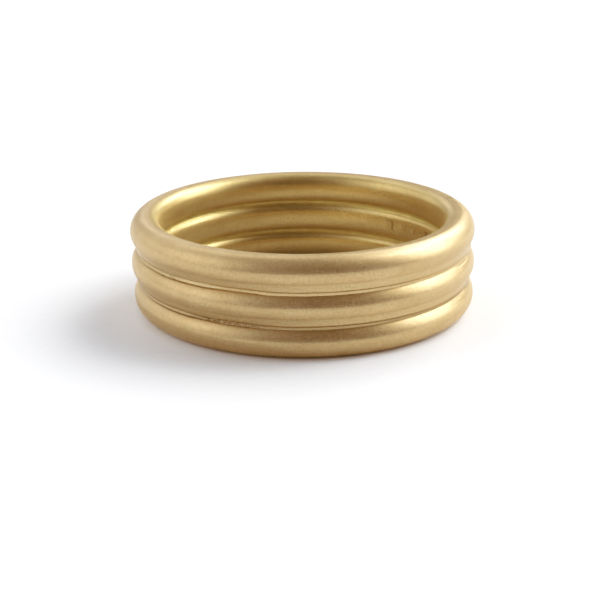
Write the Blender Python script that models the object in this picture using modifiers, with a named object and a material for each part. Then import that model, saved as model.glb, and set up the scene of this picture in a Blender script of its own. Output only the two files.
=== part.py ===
"""Wedding ring of three thick round gold wires, soldered together and lying flat on its side.

The wires are stacked and touch all the way round. Solder fills both grooves along each of the two joints,
outside and inside the finger hole, so the ring is one solid. Outside it is a narrow hollow strip, inside a
round fillet. Metres, +Z up, origin at the centre of the base, finger hole upright.
"""

from math import acos, asin, cos, pi, sin

import bpy

WIRE_COUNT = 3
WIRE_RADIUS = 0.0010
FINGER_HOLE_DIAMETER = 0.0172
OUTER_SEAM_WIDTH = 0.00034
OUTER_SEAM_HOLLOW = 0.00003
INNER_SEAM_WIDTH = 0.00046
INNER_SEAM_HOLLOW = 0.00011
RESTING_FLAT_WIDTH = 0.0003

STEPS_ROUND_RING = 84
STEPS_END_WIRE = 8
STEPS_MIDDLE_WIRE = 6
STEPS_OUTER_SEAM = 2
STEPS_INNER_SEAM = 4
MERGE_DISTANCE = 1e-7

RING_RADIUS = FINGER_HOLE_DIAMETER / 2 + WIRE_RADIUS
FLAT_ANGLE = acos(RESTING_FLAT_WIDTH / 2 / WIRE_RADIUS)

GOLD_COLOUR = (0.66, 0.45, 0.20, 1.0)
GOLD_ROUGHNESS = 0.3


def clear_scene():
    for thing in list(bpy.data.objects):
        bpy.data.objects.remove(thing, do_unlink=True)


def wire_heights():
    """Heights of the wires' centres above the base, from the top wire down to the bottom one."""
    lowest = WIRE_RADIUS * sin(FLAT_ANGLE)
    return [lowest + 2 * WIRE_RADIUS * step for step in reversed(range(WIRE_COUNT))]


def arc(centre_x, centre_z, radius, start, end, steps):
    """Points along an arc in the XZ plane, both ends included. Angles are measured up from +X."""
    angles = [start + (end - start) * step / steps for step in range(steps + 1)]
    return [(centre_x + radius * cos(angle), centre_z + radius * sin(angle)) for angle in angles]


def seam(top, bottom, hollow, steps):
    """The hollow of the solder between two wires, without the two points where it meets them."""
    half_width = (top[1] - bottom[1]) / 2
    radius = (half_width**2 + hollow**2) / (2 * hollow)
    centre_x = top[0] - hollow + radius
    spread = asin(half_width / radius)
    middle = (top[1] + bottom[1]) / 2
    return arc(centre_x, middle, radius, pi - spread, pi + spread, steps)[1:-1]


def half_section(seam_width, seam_hollow, seam_steps):
    """The half of the band's section beyond the wires' centres, from the top face down to the base."""
    seam_angle = asin((WIRE_RADIUS - seam_width / 2) / WIRE_RADIUS)
    heights = wire_heights()
    points = []
    for height in heights:
        start = FLAT_ANGLE if height == heights[0] else seam_angle
        end = -FLAT_ANGLE if height == heights[-1] else -seam_angle
        steps = STEPS_MIDDLE_WIRE if start == seam_angle and end == -seam_angle else STEPS_END_WIRE
        wire = arc(RING_RADIUS, height, WIRE_RADIUS, start, end, steps)
        if points:
            points += seam(points[-1], wire[0], seam_hollow, seam_steps)
        points += wire
    return points


def band_section():
    """The whole closed section: down the outer side, then up the finger side."""
    outer = half_section(OUTER_SEAM_WIDTH, OUTER_SEAM_HOLLOW, STEPS_OUTER_SEAM)
    mirrored = half_section(INNER_SEAM_WIDTH, INNER_SEAM_HOLLOW, STEPS_INNER_SEAM)
    inner = [(2 * RING_RADIUS - x, z) for x, z in reversed(mirrored)]
    return outer + inner


def gold():
    material = bpy.data.materials.new("gold")
    material.use_nodes = True
    shader = material.node_tree.nodes["Principled BSDF"]
    shader.inputs["Base Color"].default_value = GOLD_COLOUR
    shader.inputs["Metallic"].default_value = 1.0
    shader.inputs["Roughness"].default_value = GOLD_ROUGHNESS
    return material


def wire_band(collection):
    """Turns the section once round the finger hole."""
    section = band_section()
    corners = [(x, 0.0, z) for x, z in section]
    edges = [(i, (i + 1) % len(section)) for i in range(len(section))]
    mesh = bpy.data.meshes.new("wire_band")
    mesh.from_pydata(corners, edges, [])
    mesh.materials.append(gold())
    band = bpy.data.objects.new("wire_band", mesh)
    collection.objects.link(band)
    turn = band.modifiers.new("turn", "SCREW")
    turn.axis = "Z"
    turn.angle = 2 * pi
    turn.steps = STEPS_ROUND_RING
    turn.render_steps = STEPS_ROUND_RING
    turn.use_merge_vertices = True
    turn.merge_threshold = MERGE_DISTANCE
    turn.use_smooth_shade = True
    return band


def main():
    clear_scene()
    collection = bpy.data.collections.new("wedding_ring")
    bpy.context.scene.collection.children.link(collection)
    wire_band(collection)


main()
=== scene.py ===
"""Wedding ring of three thick gold wires soldered side by side, lying flat on white paper in window light.

The wires are satin outside and polished inside the finger hole. Inside, solder fills each groove with a round
fillet. Outside it hangs from the wire above in a shoulder and ends in a narrow strip, with the lumps, burrs
and gaps of handwork.

Lengths are in metres. Angles round the ring are in degrees, with 0 at the right and 90 at the back. A stretch
of the ring is its first angle, its last angle and the degrees over which it fades out beyond them. A shade is
how much of the metal's own colour is mixed towards dark brown, from 0 to 1. It is painted shade in the file
marks, dents and outer grooves, between the burrs and low on the finger side; on the inner solder alone it is
uneven tarnishing.
"""

from functools import cache
from math import asin, atan2, cos, degrees, hypot, pi, radians, sin, sqrt, tau
from random import Random
from typing import NamedTuple

import bmesh
import bpy
from mathutils import Matrix, Vector, noise


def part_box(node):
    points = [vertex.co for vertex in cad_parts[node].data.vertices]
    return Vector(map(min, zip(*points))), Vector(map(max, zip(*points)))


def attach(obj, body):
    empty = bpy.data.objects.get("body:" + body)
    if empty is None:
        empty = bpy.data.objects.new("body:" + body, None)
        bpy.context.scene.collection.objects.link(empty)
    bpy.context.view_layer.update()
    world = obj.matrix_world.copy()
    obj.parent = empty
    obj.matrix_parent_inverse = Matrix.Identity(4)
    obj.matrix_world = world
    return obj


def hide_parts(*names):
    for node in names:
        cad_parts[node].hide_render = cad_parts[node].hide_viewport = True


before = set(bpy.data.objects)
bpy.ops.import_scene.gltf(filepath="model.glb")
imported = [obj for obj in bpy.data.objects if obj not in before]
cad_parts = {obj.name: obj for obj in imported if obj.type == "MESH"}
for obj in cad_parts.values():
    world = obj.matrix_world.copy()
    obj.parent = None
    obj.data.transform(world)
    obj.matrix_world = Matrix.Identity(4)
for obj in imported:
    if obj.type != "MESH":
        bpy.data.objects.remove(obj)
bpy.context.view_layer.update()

MM = 0.001
UP = Vector((0, 0, 1))
OUTWARDS = 1
INWARDS = -1
# vertex layer of how much dark brown is mixed in: painted shade, and tarnishing on the inner solder
SHADE_AND_TARNISH_LAYER = "shade_and_tarnish"

BAND_LOW, BAND_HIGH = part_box("wire_band")
BAND_MIDDLE = (BAND_LOW.z + BAND_HIGH.z) / 2
BAND_HEIGHT = BAND_HIGH.z - BAND_LOW.z
WIRE_COUNT = 3
WIRE_RADIUS = 1.0 * MM
RING_RADIUS = (BAND_HIGH.x - BAND_LOW.x) / 2 - WIRE_RADIUS
PITCH = 2 * WIRE_RADIUS
LEAN_TOP = 0.015 * MM
LEAN_BOTTOM = 0.09 * MM

STEPS_ROUND_WIRE = 960
STEPS_ACROSS_WIRE = 96
STEPS_ROUND_SOLDER = 2160
STEPS_ACROSS_SOLDER = 8
SLICES = 24
MERGE_DISTANCE = 1e-8
SEED_SHIFTS = (7.1, 3.7, 5.3)

# Wires. Lumps are rows of how high and how wide they are, and what is added to the piece's seed for them.
BOTTOM_SEED, MIDDLE_SEED, TOP_SEED = 3, 5, 8
BEND_COUNTS = (2, 3, 5, 8)
BEND_OUT = 0.014 * MM
BEND_UP = 0.010 * MM
BEND_OUT_SEED = 50
WIRE_LUMPS = ((0.0030 * MM, 1.6 * MM, 0), (0.0010 * MM, 0.5 * MM, 9))
BOTTOM_INSET = 0.04 * MM
WEAR = 0.2 * MM
TOP_WEAR = 0.15 * MM
WEAR_START = 0.5 * WIRE_RADIUS
# painted shade on the finger side, full low down and fading out to nothing at its height
FINGER_BASE_SHADE = 0.35
FINGER_BASE_SHADE_HEIGHT = 1.15 * MM
FINGER_BASE_SHADE_FADE = 0.6 * MM
MARKS_FROM, MARKS_TO = 34, 74
MARK_SPACING = 11.25
MARK_DEPTH = 0.025 * MM
# painted shade in the file marks
MARK_SHADE = 0.5
MIDDLE_MARKS = (333, 340, 3)
BOTTOM_MARKS = (329, 337, 3)
DENT_FLOOR = 0.7
DENT_SLOPE = 0.5
# share of a dent's painted shade that also darkens its floor
DENT_FLOOR_SHADE = 1 / 3
PUNCH_DENTS = (
    # angle, height above the wire's centre in mm, width, height and depth in mm, painted shade
    (49.0, 0.05, 0.62, 0.62, 0.055, 0.22),
    (41.0, 0.08, 0.50, 0.34, 0.025, 0.08),
    (34.5, 0.02, 0.34, 0.28, 0.035, 0.14),
    (29.5, 0.06, 0.26, 0.22, 0.050, 0.75),
    (24.5, 0.20, 0.30, 0.24, 0.050, 0.85),
)

# Outer solder. Heights are above the joint.
SHOULDER_START = radians(22)
SHOULDER_HOLLOW = 0.012 * MM
SHOULDER_TUCK = 0.005 * MM
SHOULDER_FADE = 0.35 * MM
SHOULDER_LUMPS = 0.3
LEDGE = 0.02 * MM
STRIP_TOP = -0.03 * MM
STRIP_BOTTOM = -0.22 * MM
STRIP_SLANT = 0.02 * MM
STRIP_HOLLOW = 0.01 * MM
STRIP_FADE = 0.08 * MM
# painted shade on every strip, down in its groove
STRIP_SHADE = 0.05
OUTER_BURIED = 0.12 * MM
OUTER_LUMPS = ((0.005 * MM, 0.14 * MM, 0), (0.005 * MM, 0.4 * MM, 3))
LUMPS_ALL_ROUND = 0.4
LUMPS_AT_BURRS = 1.5
BURR_HEIGHT = 0.05 * MM
BURR_SIZE = 0.19 * MM
BURR_WIDTH = 0.25
BURR_SEED = 6
# painted shade in the hollows between the burrs
BURR_SHADE = 0.22
BEAD_HEIGHT = 0.09 * MM
BEAD_TOP = 0.04 * MM
BEAD_FADE = 0.22 * MM
GAP_DEPTH = 0.12 * MM
GAP_FADE = 0.06 * MM
# painted shadow in the gap under the strip
GAP_SHADE = 0.7
WIDER_BY = 0.08 * MM
WIDER_FADE = 0.25 * MM
WIDER_STRETCH = (208, 250, 14)
FILLED_FOOT = (0.13 * MM, -0.12 * MM)
FILLED_FADE = 0.4 * MM
FILLED_STRETCH = (351, 371, 12)
DARKEST = 0.8


class OuterWork(NamedTuple):
    """The handwork in one outer groove: its seeds, how the strip differs all round, and its stretches.

    Filled top is how far the strip's top is moved out and up where the groove is filled at the right.
    """

    seed: int
    seed_above: int
    set_back: float
    # painted shade added to the whole strip
    shade: float
    burrs: tuple
    bead: tuple
    gap: tuple
    filled_top: tuple


UPPER_WORK = OuterWork(
    seed=17,
    seed_above=TOP_SEED,
    set_back=0.0,
    shade=0.0,
    burrs=(198, 224, 8),
    bead=(198, 236, 10),
    gap=(196, 248, 12),
    filled_top=(0.14 * MM, -0.12 * MM),
)
LOWER_WORK = OuterWork(
    seed=11,
    seed_above=MIDDLE_SEED,
    set_back=0.03 * MM,
    shade=0.3,
    burrs=(236, 253, 8),
    bead=(200, 228, 10),
    gap=(198, 232, 12),
    filled_top=(0.02 * MM, 0.18 * MM),
)

# Inner solder
LOWER_INNER_SEED, UPPER_INNER_SEED = 13, 19
FILLET_RADIUS = 0.3 * MM
FILLET_PROUD = 0.002 * MM
WEAR_AT_JOINT = 0.19 * MM
INNER_BURIED = 0.2 * MM
INNER_LUMPS = ((0.008 * MM, 0.15 * MM, 0), (0.008 * MM, 0.4 * MM, 3))
INNER_LUMPS_ALL_ROUND = 0.3
INNER_ROUGH_STRETCH = (130, 160, 12)
INNER_SHADE = 0.1
INNER_SHADE_SIZE = 0.5 * MM
INNER_SHADE_SEED = 5

# Metal. Ranges are of a noise from 0 to 1, and depths are how much of the deeper colour is mixed in.
OUTER_GOLD = (0.645, 0.485, 0.262, 1)
INNER_GOLD = (0.645, 0.50, 0.228, 1)
DEEP_GOLD = (0.50, 0.35, 0.16, 1)
OUTER_SOLDER = (0.66, 0.51, 0.28, 1)
INNER_SOLDER = (0.63, 0.51, 0.20, 1)
# the dark brown mixed in for painted shade and for tarnishing
SHADE_AND_TARNISH_BROWN = (0.16, 0.09, 0.035, 1)
INSIDE_FROM = RING_RADIUS - 0.05 * MM
INSIDE_TO = RING_RADIUS - 0.6 * MM
GRAIN_STRETCH = 2
GOLD_FINENESS = 120.0
GOLD_MATT_RANGE = (0.4, 0.56)
OUTER_SMOOTH, OUTER_MATT = 0.24, 0.70
INNER_SMOOTH, INNER_MATT = 0.22, 0.68
SPECKS_PER_MM = 7
SPECK_RANGE = (0.4, 0.7)
SPECK_DEPTH = 0.4
DRIFTS_PER_MM = 0.5
DRIFT_RANGE = (0.35, 0.65)
DRIFT_DEPTH = 0.2
GOLD_RELIEF = 0.0016 * MM
SOLDER_FINENESS = 100.0
SOLDER_MATT_RANGE = (0.42, 0.58)
SOLDER_SMOOTH, SOLDER_MATT = 0.26, 0.62
SOLDER_MATTER_INSIDE = 0.14
PITS_PER_MM = 9
PIT_RANGE = (0.62, 0.3)
PIT_DEPTH = 0.4
SOLDER_RELIEF = 0.003 * MM

FLOOR_RADIUS = 3.0
FLOOR_CORNERS = 96
PAPER_LOW = (0.94, 0.94, 0.955, 1)
PAPER_HIGH = (0.96, 0.96, 0.975, 1)
FIBRES_PER_MM = 2
FIBRE_RANGE = (0.3, 0.7)

CAMERA_DISTANCE = 82.2 * MM
CAMERA_ELEVATION = radians(17.19)
CAMERA_DROP = radians(1.95)
CAMERA_TURN = radians(0.12)
CAMERA_ROLL = radians(-0.47)
CAMERA_LENS = 78.93
CAMERA_SENSOR = 36
CAMERA_NEAR, CAMERA_FAR = 0.001, 20

# Patches of light in the sky. Azimuth 0 is towards the camera and 90 to its right, elevation is above the
# floor, both in degrees like the spread.
WHITE = (1, 1, 1, 1)
LIGHTS = (
    # name, azimuth, elevation, spread, red, green, blue
    ("window, near half", 115.5, 47, 9.6, 7.0, 7.2, 7.4),
    ("window, far half", 147, 34.5, 8.5, 8.8, 9.0, 9.2),
    ("window, lower half", 100.5, 24, 14, 5.05, 5.1, 5.15),
    ("ceiling", -153.5, 51.5, 12.8, 1.5, 1.54, 1.62),
    ("left wall", -79, 29, 23.7, 1.69, 1.7, 1.73),
    ("left table top", -133.5, 9, 15.8, 1.0, 1.03, 1.08),
    ("back wall", 193, 20, 6, 1.85, 1.89, 2.05),
    ("wall in front", 36, 52, 20, 0.16, 0.12, 0.08),
    ("dim room", 0, 90, 1000, 0.014, 0.01, 0.007),
)

# The camera's tone curves, as pairs of light in and light out between black and white: for all three colours,
# then for red and blue alone. The numbers are those that Blender gives the curves.
TONES = (
    (0.036, 0.033), (0.139, 0.133), (0.298, 0.32), (0.545, 0.606), (0.72, 0.785), (0.86, 0.895), (0.97, 0.98),
)
RED_TONES = ((0.13, 0.148), (0.20, 0.226), (0.26, 0.273), (0.34, 0.342))
BLUE_TONES = ((0.033, 0.023), (0.05, 0.038), (0.07, 0.059), (0.1, 0.095), (0.13, 0.13))
ALL_CURVE, RED_CURVE, BLUE_CURVE = 3, 0, 2


def wire_heights():
    """Heights of the wires' centres, from the bottom wire up."""
    return [BAND_MIDDLE + PITCH * (step - (WIRE_COUNT - 1) / 2) for step in range(WIRE_COUNT)]


def joint_heights():
    """Heights of the two joints between the wires, from the lower one up."""
    return [BAND_MIDDLE + PITCH * (step - (WIRE_COUNT - 2) / 2) for step in range(WIRE_COUNT - 1)]


def smooth_step(value):
    """Runs softly from 0 to 1 as the value does, and stays there beyond."""
    value = min(1.0, max(0.0, value))
    return value * value * (3 - 2 * value)


def turn_from(middle, angle):
    """The turn in degrees from one angle to the other, the shorter way round."""
    return (angle - middle + 180) % 360 - 180


def within(angle, first, last, soft):
    """1 on the stretch from the first to the last angle, fading to 0 over soft degrees beyond them."""
    beyond = abs(turn_from((first + last) / 2, angle)) - (last - first) / 2
    return 1 - smooth_step(beyond / soft)


def bearing(co):
    """The angle of a point round the ring, and the direction away from the finger hole's axis there."""
    angle = degrees(atan2(co.y, co.x)) % 360
    return angle, Vector((cos(radians(angle)), sin(radians(angle)), 0))


def swell(co, size, seed):
    """Smooth noise from -1 to 1, whose hills are about size across."""
    return noise.noise(co / size + Vector([seed * shift for shift in SEED_SHIFTS]))


def lumps(co, seed, rows):
    """The height of all the rows of lumps together."""
    return sum(height * swell(co, size, seed + added) for height, size, added in rows)


def turn_once(bm, steps):
    """Turns the section in the bmesh once round the finger hole and welds it shut.

    One slice is spun in fine steps and then copied round, which is far quicker than one long fine spin.
    """
    axis = {"cent": (0, 0, 0), "axis": UP}
    section = bm.verts[:] + bm.edges[:]
    bmesh.ops.spin(bm, geom=section, angle=tau / SLICES, steps=steps // SLICES, **axis)
    piece = bm.verts[:] + bm.edges[:] + bm.faces[:]
    bmesh.ops.spin(bm, geom=piece, angle=tau, steps=SLICES, use_duplicate=True, **axis)
    bmesh.ops.remove_doubles(bm, verts=bm.verts, dist=MERGE_DISTANCE)
    bmesh.ops.recalc_face_normals(bm, faces=bm.faces)


def lean(bm):
    """The wires don't lie quite one above another: the lower a wire, the further it is to the right."""
    for vert in bm.verts:
        down = 1 - (vert.co.z - BAND_LOW.z) / BAND_HEIGHT
        vert.co.x += LEAN_TOP + LEAN_BOTTOM * down**2


def finished(name, bm, material):
    """Writes the bmesh to a smooth-shaded object at the origin."""
    mesh = bpy.data.meshes.new(name)
    bm.to_mesh(mesh)
    bm.free()
    mesh.shade_smooth()
    mesh.materials.append(material)
    piece = bpy.data.objects.new(name, mesh)
    bpy.context.collection.objects.link(piece)
    return piece


# Wires

def bend_waves(seed, depth):
    """A slow wave round the ring, from a few whole waves with random phases, as a function of the angle."""
    pick = Random(seed)
    waves = [(count, pick.uniform(0, tau), depth * pick.uniform(0.5, 1.0) / count) for count in BEND_COUNTS]
    return lambda angle: sum(height * sin(count * radians(angle) + phase) for count, phase, height in waves)


def bends(seed, inset):
    """How the wire of that seed strays from its circle, less inset, as a function of a bearing."""
    out = bend_waves(seed + BEND_OUT_SEED, BEND_OUT)
    up = bend_waves(seed, BEND_UP)
    return lambda angle, outward: outward * (out(angle) - inset) + UP * up(angle)


def worn(reach, wear):
    """How far the finger side of a wire lies from its centre, once its crest is worn down by wear."""
    past = max(0.0, reach - WEAR_START) / (WIRE_RADIUS - WEAR_START)
    return reach - wear * past**2


def shape_wire(bm, height, seed, wear, inset):
    """Gives the wire its worn finger side, the slow bends and faint lumps of handwork, and its flat base."""
    shade_and_tarnish = bm.verts.layers.float[SHADE_AND_TARNISH_LAYER]
    stray = bends(seed, inset)
    for vert in bm.verts:
        angle, outward = bearing(vert.co)
        from_centre = vert.co - outward * RING_RADIUS - UP * height
        inward = -from_centre.dot(outward)
        if inward > 0:
            vert.co += outward * (inward - worn(inward, wear))
        vert.co += from_centre.normalized() * lumps(vert.co, seed, WIRE_LUMPS) + stray(angle, outward)
        vert.co.z = min(max(vert.co.z, BAND_LOW.z), BAND_HIGH.z)
        # Painted shade, darker towards the base of the finger side.
        if inward > 0:
            vert[shade_and_tarnish] = FINGER_BASE_SHADE * smooth_step((FINGER_BASE_SHADE_HEIGHT - vert.co.z) / FINGER_BASE_SHADE_FADE)


def file_marks(bm, height, stretch):
    """A few fine file marks along the upper outer side of the wire, beside the groove, with shade painted
    into them.
    """
    shade_and_tarnish = bm.verts.layers.float[SHADE_AND_TARNISH_LAYER]
    for vert in bm.verts:
        slope = degrees(atan2(vert.co.z - height, hypot(vert.co.x, vert.co.y) - RING_RADIUS))
        if not MARKS_FROM < slope < MARKS_TO:
            continue
        angle, outward = bearing(vert.co)
        cut = within(angle, *stretch) * max(0.0, cos(tau * slope / MARK_SPACING)) ** 2
        vert.co -= (outward + UP) * MARK_DEPTH * cut
        vert[shade_and_tarnish] += MARK_SHADE * cut


def punch(bm, height, angle, width, tall, depth, shade):
    """Presses a blank, soft-edged dent into the finger side of a wire. Shade is painted into its edge,
    fainter on its floor.
    """
    shade_and_tarnish = bm.verts.layers.float[SHADE_AND_TARNISH_LAYER]
    for vert in bm.verts:
        reach = hypot(vert.co.x, vert.co.y)
        if reach > RING_RADIUS:
            continue
        here, outward = bearing(vert.co)
        along = radians(turn_from(angle, here)) * reach
        off = max(abs(along) / (width / 2), abs(vert.co.z - height) / (tall / 2))
        pressed = 1 - smooth_step((off - DENT_FLOOR) / DENT_SLOPE)
        edge = 4 * pressed * (1 - pressed)
        vert.co += outward * depth * pressed
        vert[shade_and_tarnish] += shade * (edge + DENT_FLOOR_SHADE * pressed)


def wire(name, height, seed, wear, inset=0.0, dents=(), marks=None):
    bm = bmesh.new()
    bm.verts.layers.float.new(SHADE_AND_TARNISH_LAYER)
    upright = Matrix.Translation((RING_RADIUS, 0, height)) @ Matrix.Rotation(pi / 2, 4, "X")
    bmesh.ops.create_circle(bm, segments=STEPS_ACROSS_WIRE, radius=WIRE_RADIUS, matrix=upright)
    turn_once(bm, STEPS_ROUND_WIRE)
    shape_wire(bm, height, seed, wear, inset)
    if marks:
        file_marks(bm, height, marks)
    for angle, up, width, tall, depth, shade in dents:
        punch(bm, height + up * MM, angle, width * MM, tall * MM, depth * MM, shade)
    lean(bm)
    return finished(name, bm, worn_gold())


# Solder

def bow(bm, top, bottom, hollow, side, steps):
    """An arc in the XZ plane from top to bottom, hollow on the side that faces OUTWARDS or INWARDS.

    Returns its first and last vertex.
    """
    half = (bottom - top).length / 2
    radius = (half**2 + hollow**2) / (2 * hollow)
    down = (bottom - top).normalized()
    open_side = Vector((-down.z, 0, down.x)) * side
    centre = (top + bottom) / 2 + open_side * (radius - hollow)
    first = bm.verts.new(top)
    turn = -2 * asin(half / radius) * side
    spun = bmesh.ops.spin(bm, geom=[first], cent=centre, axis=(0, 1, 0), angle=turn, steps=steps)
    last = next(item for item in spun["geom_last"] if isinstance(item, bmesh.types.BMVert))
    return first, last


def join(bm, *chain):
    for here, there in zip(chain, chain[1:]):
        bm.edges.new((here, there))


def bury(bm, top, bottom, depth):
    """Closes a solder section with an edge behind it, inside the wires and the gap between them."""
    back = Vector((depth, 0, 0))
    upper = bm.verts.new(top.co + back)
    lower = bm.verts.new(bottom.co + back)
    join(bm, top, upper, lower, bottom)


def outer_section(bm, height, set_back):
    """The shoulder below the wire above, the ledge under it, the narrow strip and the buried back."""
    reach = RING_RADIUS + sqrt(WIRE_RADIUS**2 - (WIRE_RADIUS + STRIP_BOTTOM) ** 2) - set_back
    root_reach = RING_RADIUS + WIRE_RADIUS * cos(SHOULDER_START)
    root = Vector((root_reach, 0, height + WIRE_RADIUS * (1 - sin(SHOULDER_START))))
    brow = Vector((reach + STRIP_SLANT, 0, height + STRIP_TOP))
    foot = Vector((reach, 0, height + STRIP_BOTTOM))
    ledge = brow + Vector((LEDGE + set_back / 2, 0, LEDGE / 2))
    shoulder_top, shoulder_foot = bow(bm, root, ledge, SHOULDER_HOLLOW, OUTWARDS, STEPS_ACROSS_SOLDER)
    strip_top, strip_foot = bow(bm, brow, foot, STRIP_HOLLOW, OUTWARDS, STEPS_ACROSS_SOLDER)
    join(bm, shoulder_foot, strip_top)
    bury(bm, shoulder_top, strip_foot, -OUTER_BURIED)


def burr(co, seed):
    """1 on the crest of a burr and 0 between the burrs."""
    return max(0.0, BURR_WIDTH - abs(swell(co, BURR_SIZE, seed + BURR_SEED))) / BURR_WIDTH


def rough_outside(bm, height, work):
    """Small lumps everywhere, and at the left burrs, a raised bead and a gap below it with its shadow painted
    in.
    """
    shade_and_tarnish = bm.verts.layers.float.new(SHADE_AND_TARNISH_LAYER)
    for vert in bm.verts:
        angle, outward = bearing(vert.co)
        up = vert.co.z - height
        on_strip = 1 - smooth_step((up - STRIP_TOP - LEDGE) / STRIP_FADE)
        rough = within(angle, *work.burrs)
        burrs = burr(vert.co, work.seed)
        bead = smooth_step((BEAD_TOP - up) / BEAD_FADE) * within(angle, *work.bead)
        gap = smooth_step(1 - (up - STRIP_BOTTOM) / GAP_FADE) * within(angle, *work.gap)
        wider = smooth_step(1 - abs(up - STRIP_TOP) / WIDER_FADE) * within(angle, *WIDER_STRETCH)
        out = lumps(vert.co, work.seed, OUTER_LUMPS)
        out *= (LUMPS_ALL_ROUND + LUMPS_AT_BURRS * rough) * (SHOULDER_LUMPS + on_strip)
        out += BURR_HEIGHT * rough * burrs * on_strip + BEAD_HEIGHT * bead - GAP_DEPTH * gap
        vert.co += outward * out + UP * WIDER_BY * wider
        # Painted shade in the hollows between the burrs.
        between = BURR_SHADE * rough * (1 - burrs) ** 2
        # Painted shade on the strip in its groove, and a painted shadow in the gap below it.
        vert[shade_and_tarnish] = min(DARKEST, (STRIP_SHADE + work.shade + between) * on_strip + GAP_SHADE * gap)


def hang(bm, height, seed_above):
    """The shoulder follows the bends of the wire above it, and its top edge is just inside that wire."""
    stray = bends(seed_above, SHOULDER_TUCK)
    for vert in bm.verts:
        share = smooth_step((vert.co.z - height - STRIP_TOP) / SHOULDER_FADE)
        vert.co += stray(*bearing(vert.co)) * share


def fill_right(bm, height, filled_top):
    """At the far right the solder fills more of the groove and nearly closes the notch in the outline."""
    for vert in bm.verts:
        angle, outward = bearing(vert.co)
        up = vert.co.z - height
        foot = smooth_step((STRIP_TOP - up) / (STRIP_TOP - STRIP_BOTTOM))
        share = within(angle, *FILLED_STRETCH) * (1 - smooth_step((up - STRIP_TOP) / FILLED_FADE))
        out, rise = (top + (bottom - top) * foot for top, bottom in zip(filled_top, FILLED_FOOT))
        vert.co += (outward * out + UP * rise) * share


def outer_solder(name, height, work):
    """Solder in an outer groove: a shoulder drawn down from the wire above, and a narrow strip set back."""
    bm = bmesh.new()
    outer_section(bm, height, work.set_back)
    turn_once(bm, STEPS_ROUND_SOLDER)
    rough_outside(bm, height, work)
    hang(bm, height, work.seed_above)
    fill_right(bm, height, work.filled_top)
    lean(bm)
    return finished(name, bm, pale_solder())


def inner_section(bm, height):
    """A round fillet that runs smoothly into both wires, and its buried back."""
    spread = asin(WIRE_RADIUS / (WIRE_RADIUS + FILLET_RADIUS))
    half = FILLET_RADIUS * sin(spread)
    hollow = FILLET_RADIUS * (1 - cos(spread))
    reach = RING_RADIUS - worn(WIRE_RADIUS * cos(spread), WEAR_AT_JOINT)
    top = Vector((reach, 0, height + half))
    bottom = Vector((reach, 0, height - half))
    bury(bm, *bow(bm, top, bottom, hollow, INWARDS, 2 * STEPS_ACROSS_SOLDER), INNER_BURIED)


def rough_inside(bm, seed):
    """Small lumps, more of them at the back left, and uneven tarnishing."""
    shade_and_tarnish = bm.verts.layers.float.new(SHADE_AND_TARNISH_LAYER)
    for vert in bm.verts:
        angle, outward = bearing(vert.co)
        rough = INNER_LUMPS_ALL_ROUND + within(angle, *INNER_ROUGH_STRETCH)
        vert.co -= outward * (lumps(vert.co, seed, INNER_LUMPS) * rough + FILLET_PROUD)
        vert[shade_and_tarnish] = INNER_SHADE * (1 + swell(vert.co, INNER_SHADE_SIZE, seed + INNER_SHADE_SEED))


def inner_solder(name, height, seed):
    """The fillet of solder in an inner groove."""
    bm = bmesh.new()
    inner_section(bm, height)
    turn_once(bm, STEPS_ROUND_SOLDER)
    rough_inside(bm, seed)
    lean(bm)
    return finished(name, bm, pale_solder())


# Nodes

def add(tree, kind, inputs=None, **settings):
    """Adds a node, sets its settings, and sets or links its inputs, which are given by name or by number."""
    node = tree.nodes.new(kind)
    for key, value in settings.items():
        setattr(node, key, value)
    for key, value in (inputs or {}).items():
        socket = node.inputs[key]
        if isinstance(value, bpy.types.NodeSocket):
            tree.links.new(value, socket)
        else:
            socket.default_value = value
    return node


def calc(tree, operation, first, second=0.0, third=0.0):
    return add(tree, "ShaderNodeMath", {0: first, 1: second, 2: third}, operation=operation).outputs[0]


def vector_calc(tree, operation, first, second, output="Vector"):
    return add(tree, "ShaderNodeVectorMath", {0: first, 1: second}, operation=operation).outputs[output]


def scaled(tree, vector, scale):
    return add(tree, "ShaderNodeVectorMath", {0: vector, "Scale": scale}, operation="SCALE").outputs[0]


def fade(tree, value, start, end, low=0.0, high=1.0):
    """Maps value from low at start to high at end, with a soft step."""
    inputs = {"Value": value, "From Min": start, "From Max": end, "To Min": low, "To Max": high}
    return add(tree, "ShaderNodeMapRange", inputs, interpolation_type="SMOOTHSTEP").outputs[0]


def blend(tree, factor, first, second):
    """Mixes two colours. The Mix node's colour sockets are found by number, as its socket names repeat."""
    return add(tree, "ShaderNodeMix", {0: factor, 6: first, 7: second}, data_type="RGBA").outputs[2]


def spot_on_piece(tree):
    return add(tree, "ShaderNodeTexCoord").outputs["Object"]


def mottle(tree, per_mm, detail):
    """Even noise from 0 to 1 with that many hills in a mm."""
    inputs = {"Vector": spot_on_piece(tree), "Scale": per_mm / MM, "Detail": detail}
    return add(tree, "ShaderNodeTexNoise", inputs).outputs["Fac"]


def from_axis(tree):
    """The way to a spot from the finger hole's axis, straight outwards, and the length of that way."""
    way = vector_calc(tree, "MULTIPLY", spot_on_piece(tree), (1, 1, 0))
    length = add(tree, "ShaderNodeVectorMath", {0: way}, operation="LENGTH").outputs["Value"]
    return way, length


def group(name, inputs, outputs):
    """A new node group, whose sockets are given as name: kind. Returns it with the sockets at its ends."""
    tree = bpy.data.node_groups.new(name, "ShaderNodeTree")
    for in_out, sockets in (("INPUT", inputs), ("OUTPUT", outputs)):
        for key, kind in sockets.items():
            tree.interface.new_socket(key, in_out=in_out, socket_type="NodeSocket" + kind)
    return tree, add(tree, "NodeGroupInput").outputs, add(tree, "NodeGroupOutput").inputs


def use(tree, effect, **inputs):
    """Adds a node group and sets its inputs. Returns its outputs."""
    return add(tree, "ShaderNodeGroup", inputs, node_tree=effect).outputs


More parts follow.
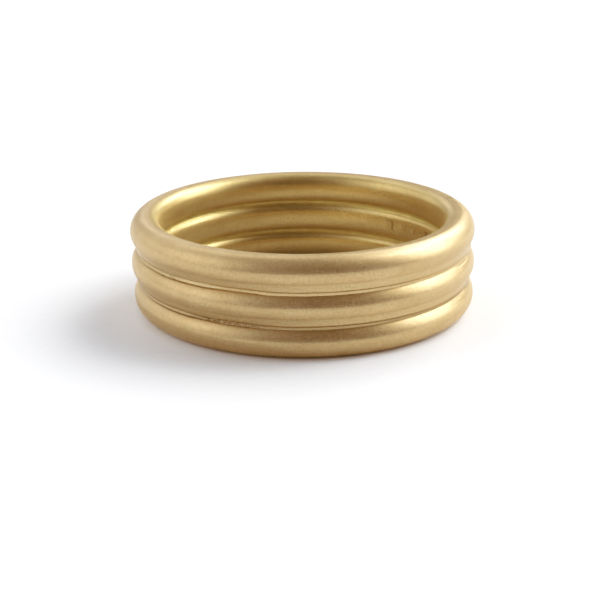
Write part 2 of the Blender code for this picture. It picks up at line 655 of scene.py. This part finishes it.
@cache
def finger_side():
    """1 on the finger side of the wires, 0 on the outside."""
    tree, _, ends = group("finger side", {}, {"Inside": "Float"})
    _, reach = from_axis(tree)
    tree.links.new(fade(tree, reach, INSIDE_FROM, INSIDE_TO), ends["Inside"])
    return tree


@cache
def satin():
    """Fine grain drawn out along the wires, as abrasive paper leaves it, with specks and a slow drift."""
    kinds = {"Grain": "Float", "Speck": "Float", "Drift": "Float"}
    tree, starts, ends = group("satin grain", {"Fineness": "Float"}, kinds)
    way, reach = from_axis(tree)
    direction = add(tree, "ShaderNodeVectorMath", {0: way}, operation="NORMALIZE").outputs[0]
    height = add(tree, "ShaderNodeSeparateXYZ", {0: spot_on_piece(tree)}).outputs["Z"]
    across = calc(tree, "DIVIDE", starts["Fineness"], MM)
    along = calc(tree, "MULTIPLY", across, RING_RADIUS / GRAIN_STRETCH)
    upright = add(tree, "ShaderNodeCombineXYZ", {"Z": calc(tree, "MULTIPLY", height, across)}).outputs[0]
    spot = vector_calc(tree, "ADD", scaled(tree, direction, along), upright)
    inputs = {"Vector": spot, "W": calc(tree, "MULTIPLY", reach, across), "Scale": 1.0, "Detail": 1.0}
    grain = add(tree, "ShaderNodeTexNoise", inputs, noise_dimensions="4D").outputs["Fac"]
    tree.links.new(grain, ends["Grain"])
    tree.links.new(mottle(tree, SPECKS_PER_MM, 2.0), ends["Speck"])
    tree.links.new(mottle(tree, DRIFTS_PER_MM, 2.0), ends["Drift"])
    return tree


# Materials

def new_material(name):
    """A new material, with its node tree and its shader's inputs."""
    material = bpy.data.materials.new(name)
    material.use_nodes = True
    tree = material.node_tree
    return material, tree, tree.nodes["Principled BSDF"].inputs


def make_metal(tree, surface, colour, roughness, height, relief):
    """Links up a metal with relief as deep as that, its colour darkened by painted shade and tarnishing."""
    shade_and_tarnish = add(tree, "ShaderNodeAttribute", attribute_name=SHADE_AND_TARNISH_LAYER).outputs["Fac"]
    bump = add(tree, "ShaderNodeBump", {"Strength": 1.0, "Distance": relief, "Height": height}).outputs[0]
    surface["Metallic"].default_value = 1.0
    tree.links.new(blend(tree, shade_and_tarnish, colour, SHADE_AND_TARNISH_BROWN), surface["Base Color"])
    tree.links.new(roughness, surface["Roughness"])
    tree.links.new(bump, surface["Normal"])


@cache
def worn_gold():
    """Gold, satin outside and polished inside. Its grain mixes smooth and matt, finer than the eye sees."""
    material, tree, surface = new_material("worn gold")
    inside = use(tree, finger_side())["Inside"]
    finish = use(tree, satin(), Fineness=GOLD_FINENESS)
    colour = blend(tree, inside, OUTER_GOLD, INNER_GOLD)
    drift = fade(tree, finish["Drift"], *DRIFT_RANGE, 0.0, DRIFT_DEPTH)
    specks = fade(tree, finish["Speck"], *SPECK_RANGE, 0.0, SPECK_DEPTH)
    colour = blend(tree, specks, blend(tree, drift, colour, DEEP_GOLD), DEEP_GOLD)
    matt = fade(tree, finish["Grain"], *GOLD_MATT_RANGE)
    smoothest = fade(tree, inside, 0.0, 1.0, OUTER_SMOOTH, INNER_SMOOTH)
    roughest = fade(tree, inside, 0.0, 1.0, OUTER_MATT, INNER_MATT)
    added = calc(tree, "MULTIPLY", matt, calc(tree, "SUBTRACT", roughest, smoothest))
    make_metal(tree, surface, colour, calc(tree, "ADD", smoothest, added), finish["Speck"], GOLD_RELIEF)
    return material


@cache
def pale_solder():
    """Solder: the same satin outside and polish inside, a little paler, with fine pits."""
    material, tree, surface = new_material("solder")
    inside = use(tree, finger_side())["Inside"]
    finish = use(tree, satin(), Fineness=SOLDER_FINENESS)
    height = mottle(tree, PITS_PER_MM, 3.0)
    pits = fade(tree, height, *PIT_RANGE, 0.0, PIT_DEPTH)
    colour = blend(tree, pits, blend(tree, inside, OUTER_SOLDER, INNER_SOLDER), DEEP_GOLD)
    matt = fade(tree, finish["Grain"], *SOLDER_MATT_RANGE, SOLDER_SMOOTH, SOLDER_MATT)
    roughness = calc(tree, "MULTIPLY_ADD", inside, SOLDER_MATTER_INSIDE, matt)
    make_metal(tree, surface, colour, roughness, height, SOLDER_RELIEF)
    return material


def white_paper():
    """Matt paper with a faint mottle of fibres."""
    material, tree, surface = new_material("white paper")
    fibres = fade(tree, mottle(tree, FIBRES_PER_MM, 4.0), *FIBRE_RANGE)
    surface["Roughness"].default_value = 1.0
    surface["Specular IOR Level"].default_value = 0.0
    tree.links.new(blend(tree, fibres, PAPER_LOW, PAPER_HIGH), surface["Base Color"])
    return material


# Surroundings

def floor():
    bm = bmesh.new()
    bmesh.ops.create_circle(bm, cap_ends=True, segments=FLOOR_CORNERS, radius=FLOOR_RADIUS)
    finished("floor", bm, white_paper())


def soft_light():
    """One soft round patch of light in the sky: brightest towards Towards and fading over Spread."""
    kinds = {"Towards": "Vector", "Spread": "Float", "Colour": "Color"}
    tree, starts, ends = group("soft light", kinds, {"Light": "Color"})
    sky = add(tree, "ShaderNodeTexCoord").outputs["Generated"]
    facing = vector_calc(tree, "DOT_PRODUCT", sky, starts["Towards"], "Value")
    away = calc(tree, "SUBTRACT", facing, 1.0)
    fall = calc(tree, "EXPONENT", calc(tree, "DIVIDE", away, calc(tree, "POWER", starts["Spread"], 2.0)))
    tree.links.new(scaled(tree, starts["Colour"], fall), ends["Light"])
    return tree


def surroundings():
    """The window, its room and nothing else. The camera sees plain white behind the floor."""
    world = bpy.data.worlds.new("window light")
    bpy.context.scene.world = world
    world.use_nodes = True
    tree = world.node_tree
    tree.nodes.clear()
    patch = soft_light()
    total = (0.0, 0.0, 0.0)
    for _, azimuth, elevation, spread, *colour in LIGHTS:
        side, height = radians(azimuth), radians(elevation)
        towards = (sin(side) * cos(height), -cos(side) * cos(height), sin(height))
        light = use(tree, patch, Towards=towards, Spread=radians(spread), Colour=(*colour, 1))["Light"]
        total = vector_calc(tree, "ADD", light, total)
    lit = add(tree, "ShaderNodeBackground", {"Color": total}).outputs[0]
    seen = add(tree, "ShaderNodeBackground", {"Color": WHITE}).outputs[0]
    camera_ray = add(tree, "ShaderNodeLightPath").outputs["Is Camera Ray"]
    sky = add(tree, "ShaderNodeMixShader", {0: camera_ray, 1: lit, 2: seen}).outputs[0]
    add(tree, "ShaderNodeOutputWorld", {"Surface": sky})


def camera():
    lens = bpy.data.cameras.new("camera")
    lens.lens = CAMERA_LENS
    lens.sensor_width = CAMERA_SENSOR
    lens.clip_start = CAMERA_NEAR
    lens.clip_end = CAMERA_FAR
    view = bpy.data.objects.new("camera", lens)
    bpy.context.collection.objects.link(view)
    back = Vector((0, -cos(CAMERA_ELEVATION), sin(CAMERA_ELEVATION)))
    place = Matrix.Translation(UP * BAND_MIDDLE + back * CAMERA_DISTANCE)
    turn = Matrix.Rotation(CAMERA_TURN, 4, "Z")
    tilt = Matrix.Rotation(pi / 2 - CAMERA_ELEVATION - CAMERA_DROP, 4, "X")
    roll = Matrix.Rotation(CAMERA_ROLL, 4, "Z")
    view.matrix_world = place @ turn @ tilt @ roll
    bpy.context.scene.camera = view


def tone_curves():
    view = bpy.context.scene.view_settings
    view.view_transform = "Standard"
    view.use_curve_mapping = True
    for number, tones in ((ALL_CURVE, TONES), (RED_CURVE, RED_TONES), (BLUE_CURVE, BLUE_TONES)):
        for light, tone in tones:
            view.curve_mapping.curves[number].points.new(light, tone)
    view.curve_mapping.update()


def light_paths():
    """Lets light pass from wire to wire and from the gold to the paper, unclamped and unblurred."""
    cycles = bpy.context.scene.cycles
    cycles.max_bounces = 8
    cycles.glossy_bounces = 6
    cycles.diffuse_bounces = 3
    cycles.sample_clamp_indirect = 0
    cycles.blur_glossy = 0
    cycles.caustics_reflective = True


def ring():
    bottom, middle, top = wire_heights()
    lower, upper = joint_heights()
    pieces = [
        wire("wire_bottom", bottom, BOTTOM_SEED, WEAR, inset=BOTTOM_INSET, marks=BOTTOM_MARKS),
        wire("wire_middle", middle, MIDDLE_SEED, WEAR, dents=PUNCH_DENTS, marks=MIDDLE_MARKS),
        wire("wire_top", top, TOP_SEED, TOP_WEAR),
        outer_solder("lower_outer_solder", lower, LOWER_WORK),
        outer_solder("upper_outer_solder", upper, UPPER_WORK),
        inner_solder("lower_inner_solder", lower, LOWER_INNER_SEED),
        inner_solder("upper_inner_solder", upper, UPPER_INNER_SEED),
    ]
    for piece in pieces:
        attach(piece, "root")
        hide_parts("wire_band")


def main():
    ring()
    floor()
    surroundings()
    camera()
    tone_curves()
    light_paths()


main()
